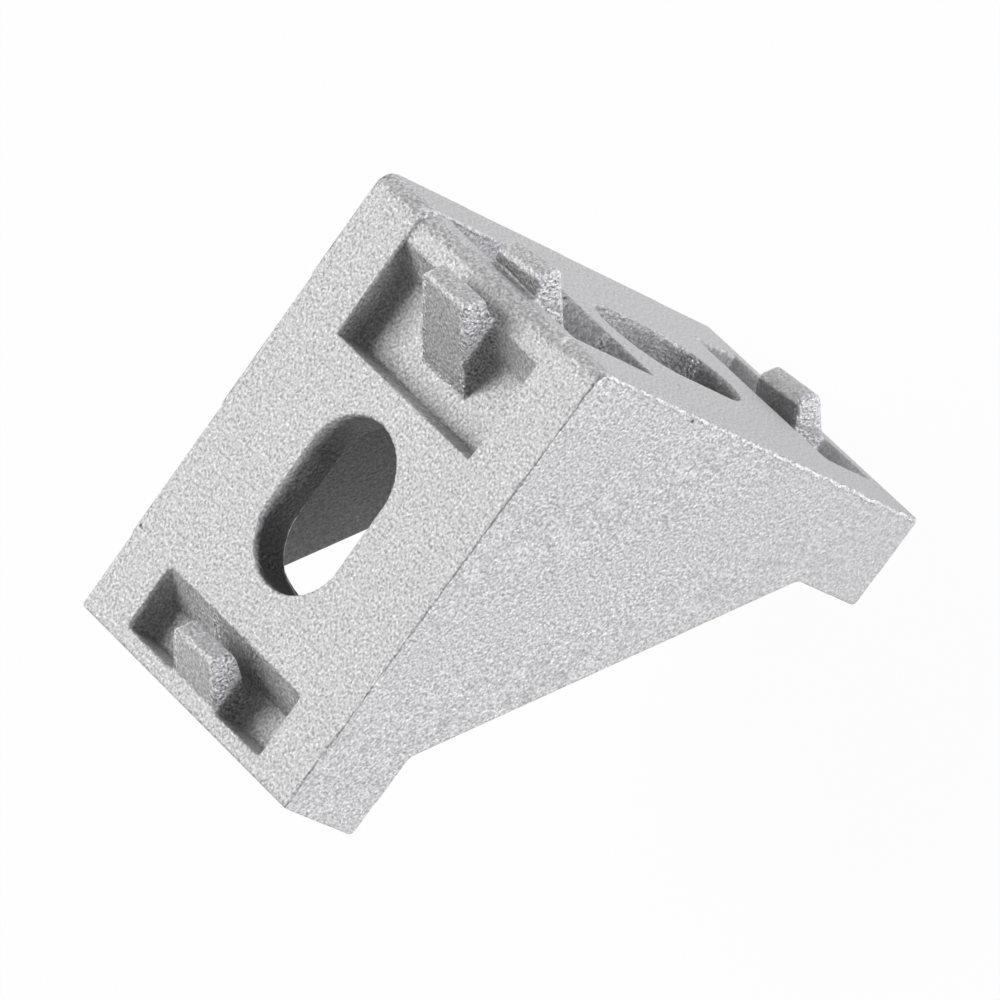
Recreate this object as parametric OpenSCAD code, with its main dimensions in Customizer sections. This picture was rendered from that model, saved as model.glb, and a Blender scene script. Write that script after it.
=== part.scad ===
// Corner bracket for slotted framing profiles, cast in one piece.
// The rail leg lies along +Y and mates upward, on the plane z = 0.
// The post leg hangs along -Z and mates on the plane y = 0, facing -Y.
// The two mating planes meet at the origin, at the middle of the width, which runs along X.
// The legs mirror each other across the diagonal, so each feature is made on the rail leg and copied.

/* [Bracket] */
// Length of each leg, measured from the other leg's mating plane
leg_len = 28; // [26:0.5:36]
// Width of the bracket where its mating planes meet
corner_w = 20.2; // [19:0.1:26]
// Draft of the side walls, in degrees, along the diagonal that the casting is drawn on
side_draft = 1.08; // [0.5:0.02:2]
// Wall thickness under the head of each screw
plate_t = 2.6; // [2.3:0.1:3.4]
// Round along the outside corner
corner_r = 1; // [0.3:0.1:1.2]
// Fillet between the two screw seats, inside the corner
inner_r = 5; // [2:0.25:5.5]

/* [Gussets and feet] */
// Thickness of each gusset along its free edge
gusset_t = 3.1; // [2:0.1:3.6]
// Length of the solid foot at the end of each leg
foot_len = 5.1; // [4.2:0.1:6]
// Thickness of each foot
foot_t = 5.75; // [4.5:0.05:7]
// Round along the mating edge of each foot
foot_mating_r = 0.1; // [0.1:0.05:0.8]
// Round along the inner edge of each foot
foot_inner_r = 0.3; // [0.2:0.05:1]
// Fillet between each foot and the free edge of the gussets
foot_fillet_r = 0.8; // [0.3:0.1:1.5]
// Fillet where each foot's ramp runs out onto the screw seat
ramp_fillet_r = 0.4; // [0.2:0.1:0.8]

/* [Screw slots] */
// Width of each screw slot
slot_w = 6.6; // [4.5:0.1:8]
// Length of each screw slot, end to end
slot_len = 10.2; // [8.5:0.1:11]
// Middle of each screw slot, measured from the other leg's mating plane
slot_mid = 15.1; // [14.6:0.1:15.6]

/* [Pockets] */
// Depth of the pockets round the tongues
pocket_depth = 1.85; // [1.2:0.05:2]
// Width of the pockets beside the corner
corner_pocket_w = 12.3; // [8:0.1:13]
// Far wall of the pocket beside the corner, from the other leg's mating plane
corner_pocket_end = 8.1; // [7:0.1:9]
// Width of the pockets at the ends of the legs
end_pocket_w = 12.4; // [8:0.1:13]
// Length of the mouth of each end pocket
end_pocket_len = 3.9; // [3.6:0.1:4.2]
// Land left between each end pocket and the end of the leg
end_land = 1; // [0.8:0.1:1.6]
// Width of the ridge left on each leg, between the pockets at the corner
ridge_w = 1.9; // [1.6:0.05:2.2]
// How far the ridge lies below the mating planes
ridge_drop = 0.15; // [0.05:0.05:0.3]

/* [Tongues] */
// Width of each tongue
tongue_w = 4; // [3:0.1:5]
// Thickness of each tongue at its tip, across the diagonal
tongue_t = 1.35; // [1.1:0.05:1.6]
// How far the rail leg's tongue beside the corner stands out of the mating plane
rail_corner_reach = 2.35; // [1.5:0.05:2.6]
// How far the rail leg's end tongue stands out of the mating plane
rail_end_reach = 2.1; // [1.5:0.05:2.6]
// How far both of the post leg's tongues stand out of the mating plane
post_reach = 1.95; // [1.5:0.05:2.6]
// Where the leading face of the rail leg's corner tongue crosses the mating plane
rail_tongue_front = 4.5; // [4.2:0.1:5.2]
// Where the leading face of the post leg's corner tongue crosses the mating plane
post_tongue_front = 4.15; // [4:0.05:5.2]
// Gap at the mating plane between an end tongue's leading face and the end land
end_tongue_gap = 0.1; // [0.05:0.05:0.3]
// Slope of the trailing face of each tongue, in degrees from square to the mating plane
tongue_back_slope = 33; // [25:1:40]
// Slant of the rail leg's tongue tips across the width, in degrees
rail_tip_slant = 1.5; // [0:0.5:9]
// Slant of the post leg's tongue tips across the width, in degrees
post_tip_slant = 8; // [0:0.5:9]
// Round along the front and the back of the rail leg's tongue tips
rail_tip_r = 0.35; // [0.1:0.05:0.5]
// Round along the front and the back of the post leg's tongue tips
post_tip_r = 0.5; // [0.1:0.05:0.5]
// Corner taken off the high side of each tongue's tip
high_side_cut = 0.2; // [0.1:0.05:0.5]
// Corner taken off the low side of each tongue's tip
low_side_cut = 0.35; // [0.1:0.05:0.8]

/* [Hidden] */

$fn = 96;
over = 2;                                   // how far a cutting shape runs past the surface it cuts
flare = tan(side_draft);                    // side draft as a slope
foot_start = leg_len - foot_len;
free_edge = (foot_start + foot_t) / sqrt(2); // the gussets' free edge, along the diagonal
seat_end = foot_start - (foot_t - plate_t); // a foot's ramp falls at 45 degrees to the screw seat
cavity_w = corner_w - 2 * gusset_t - 4 * free_edge * flare;
end_wall = leg_len - end_land;
end_tongue_front = end_wall - end_tongue_gap;
tongue_root = (plate_t - pocket_depth) / 2; // how deep a tongue's root runs below its pocket's floor

// Unit vector along v
function unit(v) = v / norm(v);

// The sliver between a sharp corner and an arc of radius r that touches both of its edges.
// before, corner and after are points in order round an outline.
module corner_sliver(before, corner, after, r) {
    u = unit(before - corner);
    v = unit(after - corner);
    half_angle = acos(u * v) / 2;
    middle = unit(u + v);
    reach = r / tan(half_angle);
    centre = corner + middle * r / sin(half_angle);
    difference() {
        polygon([corner - middle * r, corner + u * reach, centre, corner + v * reach]);
        translate(centre) circle(r);
    }
}

// An outline with its corners rounded. Points run anticlockwise, and radii holds one radius
// for each point, or 0 for a corner that stays sharp. Inside corners are filled instead.
module rounded(points, radii) {
    n = len(points);
    before = [for (i = [0:n - 1]) points[(i + n - 1) % n]];
    after = [for (i = [0:n - 1]) points[(i + 1) % n]];
    turn = [for (i = [0:n - 1]) cross(points[i] - before[i], after[i] - points[i])];
    difference() {
        union() {
            polygon(points);
            for (i = [0:n - 1])
                if (radii[i] > 0 && turn[i] < 0)
                    corner_sliver(before[i], points[i], after[i], radii[i]);
        }
        for (i = [0:n - 1])
            if (radii[i] > 0 && turn[i] > 0)
                corner_sliver(before[i], points[i], after[i], radii[i]);
    }
}

// A side outline, drawn in Y and Z, made into a prism of width w across the bracket
module across(w) {
    rotate([90, 0, 90]) linear_extrude(w, center = true) children();
}

// A bar square to the draw diagonal. It is w wide at the corner and changes by the draft:
// slope is its change of half width per length along the diagonal, from start to stop.
module drafted_bar(w, slope, start, stop) {
    rotate([-45, 0, 0])
        linear_extrude(3 * leg_len, center = true)
            polygon([
                [w / 2 + start * slope, start],
                [w / 2 + stop * slope, stop],
                [-w / 2 - stop * slope, stop],
                [-w / 2 - start * slope, start]
            ]);
}

// Repeats what is made on the rail leg on the post leg
module both_legs() {
    children();
    mirror([0, 1, 1]) children();
}

// The bracket's outside, with drafted sides
module outer_block() {
    intersection() {
        across(corner_w + over)
            rounded(
                [
                    [0, 0],
                    [0, -leg_len],
                    [foot_t, -leg_len],
                    [foot_t, -foot_start],
                    [foot_start, -foot_t],
                    [leg_len, -foot_t],
                    [leg_len, 0]
                ],
                [
                    corner_r,
                    foot_mating_r,
                    foot_inner_r,
                    foot_fillet_r,
                    foot_fillet_r,
                    foot_inner_r,
                    foot_mating_r
                ]
            );
        drafted_bar(corner_w, -flare, 0, leg_len);
    }
}

// The space between the gussets, open toward the diagonal
module cavity() {
    intersection() {
        across(corner_w)
            rounded(
                [
                    [plate_t, -plate_t],
                    [plate_t, -seat_end],
                    [foot_t + over, -foot_start - over],
                    [foot_start + over, -foot_t - over],
                    [seat_end, -plate_t]
                ],
                [inner_r, ramp_fillet_r, 0, 0, ramp_fillet_r]
            );
        drafted_bar(cavity_w, flare, 0, leg_len);
    }
}

// The pockets on both sides of the corner, with the ridge left standing between them
module corner_pockets() {
    across(corner_pocket_w)
        difference() {
            polygon([
                [-over, over],
                [-over, -corner_pocket_end],
                [pocket_depth, -corner_pocket_end],
                [pocket_depth, -pocket_depth],
                [corner_pocket_end, -pocket_depth],
                [corner_pocket_end, over]
            ]);
            ridge_profile();
        }
}

// Side outline of the ridge. Its side walls slant along the draw diagonal.
module ridge_profile() {
    foot = ridge_w + pocket_depth;
    rounded(
        [
            [ridge_drop, -ridge_drop],
            [ridge_drop, -ridge_w - ridge_drop],
            [pocket_depth, -foot],
            [foot, -foot],
            [foot, -pocket_depth],
            [ridge_w + ridge_drop, -ridge_drop]
        ],
        [corner_r, 0, 0, 0, 0, 0]
    );
}

// The pocket at the end of the rail leg, with its wall on the corner's side slanted
module end_pocket() {
    start = end_wall - end_pocket_len;
    across(end_pocket_w)
        polygon([
            [start - over, over],
            [start + pocket_depth, -pocket_depth],
            [end_wall, -pocket_depth],
            [end_wall, over]
        ]);
}

// Where a line in the plane of the diagonal ends, at a depth below the mating plane.
// Points here are [distance along the diagonal, distance across it]. The line runs
// through p and moves across the diagonal by slope per length along it.
function at_depth(p, slope, depth) =
    let (along = (sqrt(2) * depth + p.y - slope * p.x) / (1 - slope))
    [along, p.y + slope * (along - p.x)];

// A tongue on the rail leg. It stands along the draw diagonal, and its leading face
// crosses the mating plane at front. Its tip slants across the width.
module tongue(front, reach, slant, tip_r) {
    crossing = [front, front] / sqrt(2);
    tip_start = (front - 2 * reach) / sqrt(2);
    tip_front = [tip_start, crossing.y - flare * (crossing.x - tip_start)];
    tip_back = tip_front - [0, tongue_t];
    root = pocket_depth + tongue_root;
    tip = [tip_start, 0];
    half_w = tongue_w / 2 / cos(slant);
    side_run = leg_len / 2;
    lean = side_run * tan(slant);
    rotate([-45, 0, 0])
        translate([0, tip_start, 0])
            rotate([0, 0, slant])
                intersection() {
                    across(2 * tongue_w)
                        rounded(
                            [
                                tip_front - tip,
                                tip_back - tip,
                                at_depth(tip_back, -tan(45 - tongue_back_slope), root) - tip,
                                at_depth(crossing, flare, root) - tip
                            ],
                            [tip_r, tip_r, 0, 0]
                        );
                    linear_extrude(3 * leg_len, center = true)
                        polygon([
                            [high_side_cut - half_w, 0],
                            [half_w - low_side_cut, 0],
                            [half_w, low_side_cut],
                            [half_w + lean, side_run],
                            [lean - half_w, side_run],
                            [-half_w, high_side_cut]
                        ]);
                }
}

// The screw slot in the rail leg, cut through the plate and the toe of the foot's ramp
module screw_slot() {
    half_run = (slot_len - slot_w) / 2;
    translate([0, slot_mid, -foot_t])
        linear_extrude(foot_t + over) {
            translate([0, half_run]) circle(slot_w / 2);
            translate([0, -half_run]) circle(slot_w / 2);
            square([slot_w, 2 * half_run], center = true);
        }
}

// A leg's two tongues. The end tongue's root stops inside the end land.
module leg_tongues(corner_front, corner_reach, end_reach, slant, tip_r) {
    tongue(corner_front, corner_reach, slant, tip_r);
    intersection() {
        tongue(end_tongue_front, end_reach, slant, tip_r);
        across(corner_w)
            translate([0, -leg_len])
                square([end_wall + end_land / 2, 2 * leg_len]);
    }
}

module bracket() {
    color("silver")
        difference() {
            union() {
                difference() {
                    outer_block();
                    cavity();
                    corner_pockets();
                    both_legs() end_pocket();
                }
                leg_tongues(
                    rail_tongue_front, rail_corner_reach, rail_end_reach, rail_tip_slant, rail_tip_r
                );
                mirror([0, 1, 1])
                    leg_tongues(
                        post_tongue_front, post_reach, post_reach, post_tip_slant, post_tip_r
                    );
            }
            both_legs() screw_slot();
        }
}

bracket();
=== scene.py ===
"""A cast aluminium corner bracket for slotted framing profiles, on a white studio floor.

The bracket stands on the foot of its post leg. X runs across its width, Y along the rail
leg and Z up. All lengths are in metres unless a name or a comment says otherwise.
"""

import bpy
from mathutils import Matrix, Vector


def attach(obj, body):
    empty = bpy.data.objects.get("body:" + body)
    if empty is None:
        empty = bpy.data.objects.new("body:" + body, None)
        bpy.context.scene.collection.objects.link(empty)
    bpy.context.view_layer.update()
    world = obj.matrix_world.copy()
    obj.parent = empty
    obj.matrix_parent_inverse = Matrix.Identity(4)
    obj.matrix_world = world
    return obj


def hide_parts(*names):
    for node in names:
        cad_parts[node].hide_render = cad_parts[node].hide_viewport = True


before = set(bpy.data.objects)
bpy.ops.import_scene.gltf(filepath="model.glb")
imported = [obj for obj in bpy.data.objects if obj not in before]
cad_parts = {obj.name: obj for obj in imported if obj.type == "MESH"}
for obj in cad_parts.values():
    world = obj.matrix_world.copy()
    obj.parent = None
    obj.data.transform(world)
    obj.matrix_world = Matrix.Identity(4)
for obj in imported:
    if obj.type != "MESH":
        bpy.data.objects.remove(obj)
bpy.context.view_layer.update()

MM = 0.001

# The camera at the photograph's viewing angle, as fitted to the bracket's edges
CAMERA_PLACE = Vector((-0.41207, -0.09576, 0.46854))
CAMERA_RIGHT = Vector((-0.5537, -0.5738, -0.6035))
CAMERA_UP = Vector((0.5296, -0.8019, 0.2766))
CAMERA_NEAR = 0.05
CAMERA_FAR = 10
LENS_MM = 444.2
SENSOR_MM = 36

# The cast skin, worked in millimetres. All lips are rounded a little, and the tongues' tips
# further: that begins TIP_START above the mating planes and is full TIP_FADE higher up.
# SKIN_KEEP is the share of the triangles that stay.
SKIN_VOXEL = 0.11
LIP_PASSES = 4
TIP_PASSES = 12
TIP_START = 0.3
TIP_FADE = 0.5
SKIN_KEEP = 0.16

# The bracket's sizes that the finish follows, in millimetres
HALF_WIDTH = 10.1
DRAFT = 0.01885
SLOT_MID = 15.1
SLOT_HALF = 1.8
SLOT_R = 3.3
PLATE = 2.6
POCKET_HALF = 6.15
POCKET_END = 8.1
POCKET_DEPTH = 1.85
TONGUE_HALF = 2

# Where the marks are, in millimetres: the middle of the rail slot wall's stretch where painted
# shade starts lower, the pinholes with their radii, and the scratch along and across the near wall's
# diagonal
SHADE_LOW_MID = 14.6
POCKS = [((-9.99, 0.37, -8.08), 0.14), ((-5.67, 0, -10.61), 0.12), ((9.55, 22.72, 0), 0.13)]
SCUFF_ALONG = -16.6
SCUFF_ACROSS = 27.67

# How far the lines of the marks reach from their middle, in millimetres
PARTING_HALF = 0.07
RIM_HALF = 0.16
EDGE_FLASH_HALF = 0.17
RECESS_FLASH_HALF = 0.22
SCUFF_HALF = 0.12
SCUFF_HALF_LENGTH = 1

# The blasted grain, in waves per millimetre
GRAIN = 6
PITS = 4.4
SPARKS = 7.5

# The grain's height in millimetres, and in shares of it the pits, the mean of grain and pits
# together, and the burrs
GRAIN_HEIGHT = 0.07
PIT_SHARE = 0.6
MEAN_SHARE = 0.75
BURR_SHARE = 1.2

# The grain's part of the tone, and how strong the grain is at the post's foot, in the hollows
# with painted shade and on the tongues' sides
GRAIN_DARK = -0.21
GRAIN_LIGHT = 0.19
SPARK_LIGHT = 0.22
FOOT_GRAIN = 0.55
HOLLOW_GRAIN = 0.7
FLANK_GRAIN = 1.8
FLANK_RELIEF = 2.4

# The metal's tone, what each mark leaves of it or adds to it, and its roughness
METAL_TONE = 0.61
BRIGHTEST = 0.95
# The share of the tone left by the painted shade in the slots and between the gussets
HOLLOW_SHADE_TONE = 0.32
# The share of the tone left on the dark lines: the rims' painted shade, the parting line and the
# pinholes
SEAM_AND_SHADE_TONE = 0.25
# The tone left by painted shade on the post tongues' upper faces, and the tongues' sides' painted light
UPPER_FACE_SHADE = 0.6
FLANK_LIGHT = 1.22
# The tone added as a painted highlight on the flash remains, and on the bright scratch
BURR_HIGHLIGHT = 0.22
# A painted highlight on the slots' inner rims, at their far end
RIM_HIGHLIGHT = 0.6
ROUGHNESS = 0.67

# The strengths of the dark lines, from 0 to 1: painted shade on the rims, and the parting line
RIM_SHADE = 0.6
# The parting line's darkness is painted shadow under its thin flash lip
PARTING_SHADOW = 0.5

# The floor, and how much of it glows white to the camera and in the metal
FLOOR_Z = -28.2 * MM
FLOOR_HALF = 1.5
PAPER = (0.9, 0.9, 0.9, 1)
WHITE = (1, 1, 1, 1)
GLOW_TO_CAMERA = 0.97
GLOW_IN_METAL = 0.82

# The strength of the room's own grey light, and the point that the lamps face
ROOM_LIGHT = 0.05
LAMP_AIM = Vector((0, 0.01, -0.01))


def put_camera():
    """The camera, with its axes turned to the fitted ones."""
    data = bpy.data.cameras.new("camera")
    data.lens = LENS_MM
    data.sensor_width = SENSOR_MM
    data.clip_start = CAMERA_NEAR
    data.clip_end = CAMERA_FAR
    camera = bpy.data.objects.new("camera", data)
    right = CAMERA_RIGHT.normalized()
    up = (CAMERA_UP - right * CAMERA_UP.dot(right)).normalized()
    turn = Matrix((right, up, right.cross(up))).transposed()
    camera.matrix_world = Matrix.Translation(CAMERA_PLACE) @ turn.to_4x4()
    bpy.context.collection.objects.link(camera)
    bpy.context.scene.camera = camera


def settle(piece):
    """Replaces a piece's mesh by what its modifiers make of it."""
    graph = bpy.context.evaluated_depsgraph_get()
    made = bpy.data.meshes.new_from_object(piece.evaluated_get(graph), depsgraph=graph)
    piece.modifiers.clear()
    old = piece.data
    piece.data = made
    bpy.data.meshes.remove(old)


def soften(piece, name, passes, group=""):
    """Adds a smoothing of the piece's mesh, or of one group of its points."""
    smooth = piece.modifiers.new(name, "SMOOTH")
    smooth.factor = 0.5
    smooth.iterations = passes
    smooth.vertex_group = group


def mark_tips(piece):
    """Puts the tongues' tips in the group tips, by how far they stand above the mating planes."""
    tips = piece.vertex_groups.new(name="tips")
    for vertex in piece.data.vertices:
        proud = max(vertex.co.z, -vertex.co.y)
        if proud > TIP_START:
            tips.add([vertex.index], min((proud - TIP_START) / TIP_FADE, 1), "REPLACE")


def cast_skin(node, name):
    """A copy of a CAD node with its lips and the tongues' tips rounded, as a casting has them."""
    mesh = node.data.copy()
    mesh.materials.clear()
    mesh.transform(Matrix.Scale(1 / MM, 4))
    piece = bpy.data.objects.new(name, mesh)
    bpy.context.collection.objects.link(piece)

    remesh = piece.modifiers.new("skin", "REMESH")
    remesh.mode = "VOXEL"
    remesh.voxel_size = SKIN_VOXEL
    remesh.use_smooth_shade = True
    soften(piece, "lips", LIP_PASSES)
    settle(piece)

    mark_tips(piece)
    soften(piece, "tips", TIP_PASSES, "tips")
    thin = piece.modifiers.new("thin", "DECIMATE")
    thin.ratio = SKIN_KEEP
    settle(piece)
    piece.vertex_groups.clear()

    piece.data.transform(Matrix.Scale(MM, 4))
    for face in piece.data.polygons:
        face.use_smooth = True
    return piece


def new_material(name):
    """An empty material, its node tree and its output node."""
    material = bpy.data.materials.new(name)
    material.use_nodes = True
    tree = material.node_tree
    tree.nodes.clear()
    out = tree.nodes.new("ShaderNodeOutputMaterial")
    return material, tree, out


def put(tree, kind, inputs=None, **settings):
    """A new node with these settings. Inputs are numbers, colours, or sockets to link from."""
    node = tree.nodes.new(kind)
    for name, value in settings.items():
        setattr(node, name, value)
    for name, value in (inputs or {}).items():
        if isinstance(value, bpy.types.NodeSocket):
            tree.links.new(value, node.inputs[name])
        else:
            node.inputs[name].default_value = value
    return node


def calc(tree, operation, *values):
    """The result of a math node on numbers or sockets."""
    return put(tree, "ShaderNodeMath", dict(enumerate(values)), operation=operation).outputs[0]


def product(tree, first, *others):
    """The product of these values: with masks, where all of them hold."""
    result = first
    for value in others:
        result = calc(tree, "MULTIPLY", result, value)
    return result


def spread(tree, value, start, stop, low=0, high=1):
    """A value brought from start..stop to low..high, and held there at both ends."""
    ends = {"Value": value, "From Min": start, "From Max": stop, "To Min": low, "To Max": high}
    return put(tree, "ShaderNodeMapRange", ends).outputs["Result"]


def fade(tree, value, start, stop):
    """1 as far as the value's start, and 0 from its stop on."""
    return spread(tree, value, start, stop, 1, 0)


def factor_on(tree, mask, factor):
    """1 where the mask is 0, and this factor where the mask is 1."""
    return spread(tree, mask, 0, 1, 1, factor)


def noise(tree, place, scale, detail=2):
    """A noise from 0 to 1 over the place, with scale waves per millimetre."""
    settings = {"Vector": place, "Scale": scale, "Detail": detail}
    return put(tree, "ShaderNodeTexNoise", settings).outputs["Fac"]


def wandering(tree, place, scale, reach):
    """How far a line strays from its course at a place, which is up to reach to both sides."""
    return spread(tree, noise(tree, place, scale), 0.3, 0.7, -reach, reach)


def casting_place(tree):
    """Where a point of the casting lies, in millimetres, as named sockets.

    along and depth are measured on the leg that the point is on: along it from the other
    leg's mating plane, and into it from its own. side is the distance from mid-width, and
    out_side how far the point stands out of the drafted side wall, which is below 0 inside.
    normal is the surface's own. blotches is a noise that several marks share, and wander is
    the straying of their lines.
    """
    own = put(tree, "ShaderNodeTexCoord").outputs
    metres = {0: own["Object"], "Scale": 1 / MM}
    place = put(tree, "ShaderNodeVectorMath", metres, operation="SCALE").outputs[0]
    axes = put(tree, "ShaderNodeSeparateXYZ", {0: place}).outputs
    drop = calc(tree, "MULTIPLY", axes["Z"], -1)
    side = calc(tree, "ABSOLUTE", axes["X"])
    diagonal = calc(tree, "MULTIPLY", calc(tree, "ADD", axes["Y"], drop), DRAFT / 2 ** 0.5)
    return {
        "place": place,
        "normal": own["Normal"],
        "x": axes["X"],
        "y": axes["Y"],
        "drop": drop,
        "side": side,
        "along": calc(tree, "MAXIMUM", axes["Y"], drop),
        "depth": calc(tree, "MINIMUM", axes["Y"], drop),
        "out_side": calc(tree, "ADD", calc(tree, "SUBTRACT", side, HALF_WIDTH), diagonal),
        "blotches": noise(tree, place, 3.5),
        "wander": wandering(tree, place, 2.5, 0.08),
    }


def slot_gap(tree, at):
    """How far a point lies outside the walls of its leg's screw slot."""
    past = calc(tree, "SUBTRACT", at["along"], SLOT_MID)
    past = calc(tree, "SUBTRACT", calc(tree, "ABSOLUTE", past), SLOT_HALF)
    past = calc(tree, "MAXIMUM", past, 0)
    across = calc(tree, "MULTIPLY", at["side"], at["side"])
    away = calc(tree, "SQRT", calc(tree, "MULTIPLY_ADD", past, past, across))
    return calc(tree, "SUBTRACT", away, SLOT_R)


def painted_slot_shade(tree, at, gap):
    """The painted shade in the screw slots, from 0 to 1.

    It starts at a ragged line just below a slot's rim, and lower down on one stretch of the
    rail slot's wall. In the post's slot it covers the lower end, as painted shadow.
    """
    # Where the painted shade starts: lower down on one stretch of the rail slot's wall
    off_shade_low = calc(tree, "ABSOLUTE", calc(tree, "SUBTRACT", at["y"], SHADE_LOW_MID))
    shade_lowered = product(tree, fade(tree, off_shade_low, 1.5, 3.5), spread(tree, at["x"], 1.5, 3))
    blotch = calc(tree, "SUBTRACT", at["blotches"], 0.5)
    blotch = calc(tree, "MULTIPLY", blotch, spread(tree, shade_lowered, 0, 1, 0.9, 3.2))
    start = calc(tree, "MULTIPLY_ADD", shade_lowered, -0.75, calc(tree, "ADD", at["depth"], blotch))
    full = spread(tree, start, 0.08, 0.45)
    thin = spread(tree, at["depth"], 0.1, 0.8, 0, 0.75)
    skin = calc(tree, "MAXIMUM", full, thin)
    on_rail = spread(tree, calc(tree, "SUBTRACT", at["y"], at["drop"]), 0, 1)
    # Painted shadow on the post slot's lower end
    low_end = spread(tree, at["drop"], 14, 19, 0, 0.5)
    return product(tree, fade(tree, gap, 0.15, 0.4), skin, calc(tree, "MAXIMUM", on_rail, low_end))


def painted_hollow_shade(tree, at, gap):
    """1 where shade is painted and the grain is smoother: in the slots and between the gussets."""
    between = product(
        tree,
        fade(tree, at["side"], 6.9, 7.3),
        spread(tree, at["depth"], PLATE - 0.4, PLATE - 0.1),
        fade(tree, at["along"], 22, 27),
    )
    return calc(tree, "MAXIMUM", painted_slot_shade(tree, at, gap), between)


def near_line(tree, across, wander, half):
    """1 along the line where across is 0, once it wanders to both sides, and 0 from half away."""
    off = calc(tree, "ABSOLUTE", calc(tree, "SUBTRACT", across, wander))
    return fade(tree, off, half / 2, half)


def parting_line(tree, at):
    """The thin seam along the rail face's edges, darkened by painted shadow under its flash lip, broken
    where the flash came away.
    """
    wander = wandering(tree, at["place"], 0.9, 0.1)
    return product(
        tree,
        near_line(tree, calc(tree, "ADD", at["out_side"], at["drop"]), wander, PARTING_HALF),
        fade(tree, at["drop"], 0.3, 0.5),
        spread(tree, at["out_side"], -0.5, -0.3),
        spread(tree, noise(tree, at["place"], 0.5, 3), 0.4, 0.5),
    )


def inner_rim(tree, at, gap):
    """The line where a slot opens into the screw's seat."""
    below = calc(tree, "SUBTRACT", at["depth"], PLATE)
    level = near_line(tree, below, at["wander"], RIM_HALF)
    return product(tree, near_line(tree, gap, 0.05, 0.3), level)


def tongue_flank(tree, at):
    """1 on the sides of the tongues, which are rougher than the rest."""
    return product(
        tree,
        spread(tree, at["side"], TONGUE_HALF - 0.5, TONGUE_HALF - 0.3),
        fade(tree, at["side"], TONGUE_HALF + 0.15, TONGUE_HALF + 0.3),
        spread(tree, at["along"], 1.5, 1.8),
        spread(tree, calc(tree, "ABSOLUTE", at["depth"]), 0.08, 0.16),
        fade(tree, at["depth"], POCKET_DEPTH - 0.25, POCKET_DEPTH - 0.05),
    )


def tongue_light_and_shade(tree, at, flank):
    """The factor by which the tongues are darker or brighter than the rest.

    The post tongues' upper faces get painted shade. The tongues' sides get painted light on the
    post, and on the rail where they stand proud of it.
    """
    on_post = fade(tree, at["y"], 1.2, 1.5)
    proud = spread(tree, at["drop"], -0.5, -1.1)
    # Painted light on the tongues' sides
    side = product(tree, flank, calc(tree, "MAXIMUM", on_post, proud))
    facing = {0: at["normal"], 1: (0, 0.707, 0.707)}
    facing = put(tree, "ShaderNodeVectorMath", facing, operation="DOT_PRODUCT").outputs["Value"]
    # Painted shade on the post tongues' upper faces, picked out by which way they face
    shaded_upper = product(tree, spread(tree, facing, 0.86, 0.94), on_post)
    return product(tree, factor_on(tree, shaded_upper, UPPER_FACE_SHADE), factor_on(tree, side, FLANK_LIGHT))


def flash(tree, at):
    """The ragged remains of flash on the post face's edges and round the corner recess, lightened by a
    painted highlight.
    """
    across = calc(tree, "ADD", at["out_side"], calc(tree, "SUBTRACT", at["y"], 0.11))
    edge = product(
        tree,
        near_line(tree, across, at["wander"], EDGE_FLASH_HALF),
        fade(tree, at["y"], 0.5, 0.7),
        spread(tree, at["out_side"], -0.5, -0.3),
        spread(tree, at["drop"], 0.2, 0.8),
    )
    across = calc(tree, "SUBTRACT", calc(tree, "SUBTRACT", at["side"], POCKET_HALF), at["y"])
    recess = product(
        tree,
        near_line(tree, across, at["wander"], RECESS_FLASH_HALF),
        fade(tree, at["y"], 0.3, 0.5),
        fade(tree, at["drop"], POCKET_END - 3, POCKET_END - 2),
    )
    ragged = spread(tree, at["blotches"], 0.36, 0.54, 0.15, 1)
    return product(tree, calc(tree, "MAXIMUM", edge, recess), ragged)


def pocks(tree, at):
    """1 in the few pinholes that the blasting left open."""
    holes = 0
    for spot, radius in POCKS:
        ends = {0: at["place"], 1: spot}
        away = put(tree, "ShaderNodeVectorMath", ends, operation="DISTANCE").outputs["Value"]
        holes = calc(tree, "MAXIMUM", fade(tree, away, radius / 2, radius), holes)
    return holes


def scuff(tree, at):
    """1 on the short bright scratch low on the near side wall."""
    along = calc(tree, "SUBTRACT", calc(tree, "SUBTRACT", at["y"], at["drop"]), SCUFF_ALONG)
    across = calc(tree, "SUBTRACT", calc(tree, "ADD", at["y"], at["drop"]), SCUFF_ACROSS)
    return product(
        tree,
        near_line(tree, across, 0, SCUFF_HALF),
        near_line(tree, along, 0, SCUFF_HALF_LENGTH),
        spread(tree, at["x"], -9, -9.3),
    )


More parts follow.
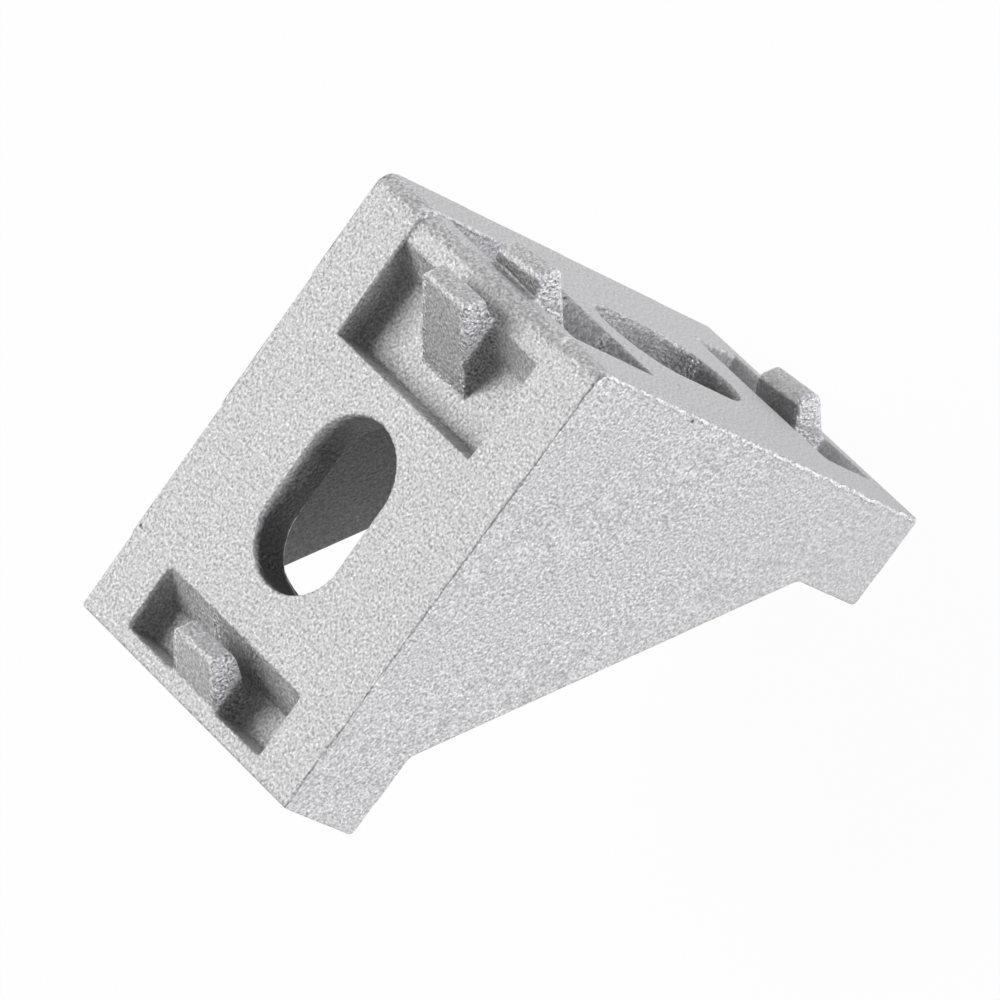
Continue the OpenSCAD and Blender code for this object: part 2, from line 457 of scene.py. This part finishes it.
def cast_aluminium():
    """Shot-blasted die casting: matt silver, with a fine sparkling grain."""
    material, tree, out = new_material("cast_aluminium")
    at = casting_place(tree)
    gap = slot_gap(tree, at)
    # Painted shade in the slots and between the gussets, where the grain is also finer
    hollow_shade = painted_hollow_shade(tree, at, gap)
    flank = tongue_flank(tree, at)
    # Flash remains and the scratch, raised in the relief and lightened in tone; on the flash the
    # lightening is a painted highlight
    burr_and_highlight = calc(tree, "MAXIMUM", flash(tree, at), scuff(tree, at))

    # The slots' inner rims get a painted highlight at the end away from the corner, and painted shade
    # elsewhere
    rim = inner_rim(tree, at, gap)
    far_end = spread(tree, at["along"], SLOT_MID + 1, SLOT_MID + 2)
    far_rim_highlight = product(tree, rim, far_end)
    seam_and_shade = product(tree, rim, spread(tree, far_end, 0, 1, RIM_SHADE, 0))
    # The parting line, darkened by painted shadow under its lip
    seam_and_shade = calc(tree, "MAXIMUM", product(tree, parting_line(tree, at), PARTING_SHADOW), seam_and_shade)
    seam_and_shade = calc(tree, "MAXIMUM", pocks(tree, at), seam_and_shade)

    grain = noise(tree, at["place"], GRAIN)
    cells = {"Vector": at["place"], "Scale": PITS}
    pits = put(tree, "ShaderNodeTexVoronoi", cells).outputs["Distance"]
    spark = spread(tree, noise(tree, at["place"], SPARKS, 1), 0.58, 0.72)
    foot = spread(tree, at["drop"], 13, 27)
    crisp = product(tree, factor_on(tree, foot, FOOT_GRAIN), factor_on(tree, hollow_shade, HOLLOW_GRAIN))

    # The height is 0 on average, so that no mask makes a step of its own
    height = calc(tree, "SUBTRACT", calc(tree, "MULTIPLY_ADD", pits, PIT_SHARE, grain), MEAN_SHARE)
    height = product(tree, height, crisp, factor_on(tree, flank, FLANK_RELIEF))
    height = calc(tree, "MULTIPLY_ADD", burr_and_highlight, BURR_SHARE, height)
    relief = {"Height": height, "Distance": GRAIN_HEIGHT * MM, "Strength": 1}
    bump = put(tree, "ShaderNodeBump", relief)

    speck = spread(tree, grain, 0.3, 0.7, GRAIN_DARK, GRAIN_LIGHT)
    speck = calc(tree, "MULTIPLY_ADD", spark, SPARK_LIGHT, speck)
    speck = product(tree, speck, factor_on(tree, flank, FLANK_GRAIN))
    tone = calc(tree, "MULTIPLY_ADD", speck, crisp, METAL_TONE)
    tone = product(tree, tone, tongue_light_and_shade(tree, at, flank))
    tone = product(tree, tone, factor_on(tree, hollow_shade, HOLLOW_SHADE_TONE), factor_on(tree, seam_and_shade, SEAM_AND_SHADE_TONE))
    tone = calc(tree, "MULTIPLY_ADD", burr_and_highlight, BURR_HIGHLIGHT, tone)
    tone = calc(tree, "MULTIPLY_ADD", far_rim_highlight, RIM_HIGHLIGHT, tone)
    tone = calc(tree, "MINIMUM", tone, BRIGHTEST)
    paint = put(tree, "ShaderNodeCombineColor", {"Red": tone, "Green": tone, "Blue": tone})

    finish = {
        "Base Color": paint.outputs["Color"],
        "Metallic": 1,
        "Roughness": ROUGHNESS,
        "Normal": bump.outputs["Normal"],
    }
    metal = put(tree, "ShaderNodeBsdfPrincipled", finish)
    tree.links.new(metal.outputs["BSDF"], out.inputs["Surface"])
    return material


def white_floor():
    """White paper: it looks white to the camera, shows in the metal, and keeps a faint shadow."""
    material, tree, out = new_material("white_paper")
    paper = put(tree, "ShaderNodeBsdfDiffuse", {"Color": PAPER})
    glow = put(tree, "ShaderNodeEmission", {"Color": WHITE, "Strength": 1})
    ray = put(tree, "ShaderNodeLightPath").outputs
    reflected = calc(tree, "MAXIMUM", ray["Is Glossy Ray"], ray["Is Transmission Ray"])
    share = calc(tree, "MULTIPLY", reflected, GLOW_IN_METAL)
    share = calc(tree, "MULTIPLY_ADD", ray["Is Camera Ray"], GLOW_TO_CAMERA, share)
    layers = {"Fac": share, 1: paper.outputs["BSDF"], 2: glow.outputs["Emission"]}
    mix = put(tree, "ShaderNodeMixShader", layers)
    tree.links.new(mix.outputs["Shader"], out.inputs["Surface"])
    return material


def lay_floor():
    """A level floor under the bracket's post leg."""
    h = FLOOR_HALF
    corners = [(-h, -h, FLOOR_Z), (h, -h, FLOOR_Z), (h, h, FLOOR_Z), (-h, h, FLOOR_Z)]
    mesh = bpy.data.meshes.new("floor")
    mesh.from_pydata(corners, [], [(0, 1, 2, 3)])
    mesh.materials.append(white_floor())
    floor = bpy.data.objects.new("floor", mesh)
    bpy.context.collection.objects.link(floor)


def soft_lamp(name, place, width, height, watts, tint=(1, 1, 1)):
    """An area lamp that faces the bracket."""
    data = bpy.data.lights.new(name, "AREA")
    data.color = tint
    data.shape = "RECTANGLE"
    data.size = width
    data.size_y = height
    data.energy = watts
    lamp = bpy.data.objects.new(name, data)
    place = Vector(place)
    turn = (LAMP_AIM - place).to_track_quat("-Z", "Y").to_matrix()
    lamp.matrix_world = Matrix.Translation(place) @ turn.to_4x4()
    bpy.context.collection.objects.link(lamp)


def light_studio():
    """Soft lamps round the bracket in a plain grey room.

    The chief light comes from over the far side. The low lamps and the white floor's glow
    light the walls evenly from all round.
    """
    world = bpy.data.worlds.new("studio")
    bpy.context.scene.world = world
    world.use_nodes = True
    room = world.node_tree.nodes["Background"]
    room.inputs["Color"].default_value = WHITE
    room.inputs["Strength"].default_value = ROOM_LIGHT
    soft_lamp("lamp_over", (0.64, 0.17, 0.75), width=0.7, height=0.7, watts=7.7)
    soft_lamp("lamp_side", (-0.78, -0.5, 0.02), width=0.5, height=0.08, watts=4.5, tint=(0.94, 0.91, 1))
    soft_lamp("lamp_end", (-0.9, 0.1, 0.05), width=0.5, height=0.14, watts=2.4, tint=(0.98, 0.96, 1))
    soft_lamp("lamp_front", (-0.1, -0.95, 0.1), width=0.6, height=0.2, watts=0.5, tint=(0.82, 0.76, 1))
    soft_lamp("lamp_corner", (0.62, -0.74, 0.22), width=0.4, height=0.4, watts=1.6)
    soft_lamp("lamp_back", (0.1, 0.85, 0.4), width=0.6, height=0.4, watts=1.3)
    soft_lamp("lamp_top", (0, 0, 1), width=0.6, height=0.6, watts=0.6)
    bpy.context.scene.view_settings.view_transform = "Standard"


def dress_bracket():
    """The casting's visible skin, in place of its CAD node."""
    skin = cast_skin(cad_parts["bracket"], "casting")
    skin.data.materials.append(cast_aluminium())
    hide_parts("bracket")
    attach(skin, "root")


put_camera()
light_studio()
lay_floor()
dress_bracket()
